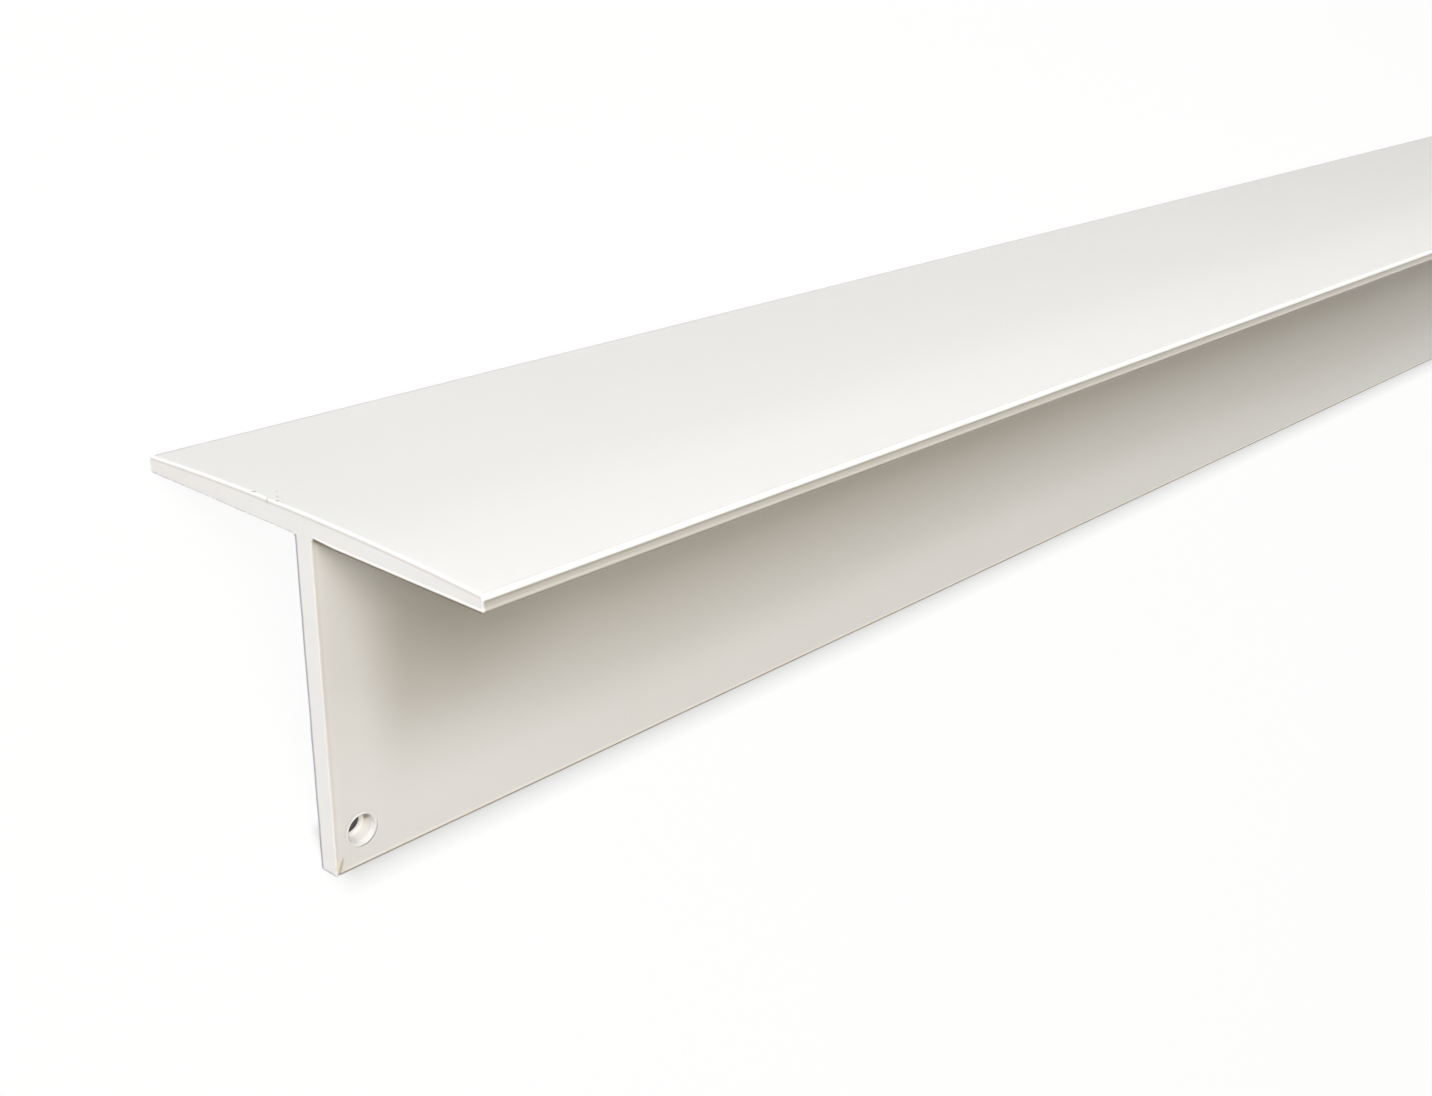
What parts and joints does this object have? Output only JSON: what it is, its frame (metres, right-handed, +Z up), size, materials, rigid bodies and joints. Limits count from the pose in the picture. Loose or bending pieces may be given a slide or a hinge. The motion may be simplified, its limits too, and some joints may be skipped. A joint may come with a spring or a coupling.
{
  "type": "aluminium tee section",
  "caption": "White powder-coated aluminium T profile with a slightly crowned flange, a web under its middle and a small hanging hole drilled through the web near one sawn end.",
  "frame": {"origin": "on the floor, under the middle of the bar as it lies", "axes": "+X along the bar, away from the end that has the hole; +Z up. The bar lies leaned over +Y, on the foot of its web and one tip of its flange, so the flange's outer face looks up and towards +Y"},
  "size_m": [1, 0.036, 0.0336],
  "materials": {
    "white_coat": "satin"
  },
  "bodies": {
    "root": {"tee_section": "white_coat"}
  },
  "joints": []
}
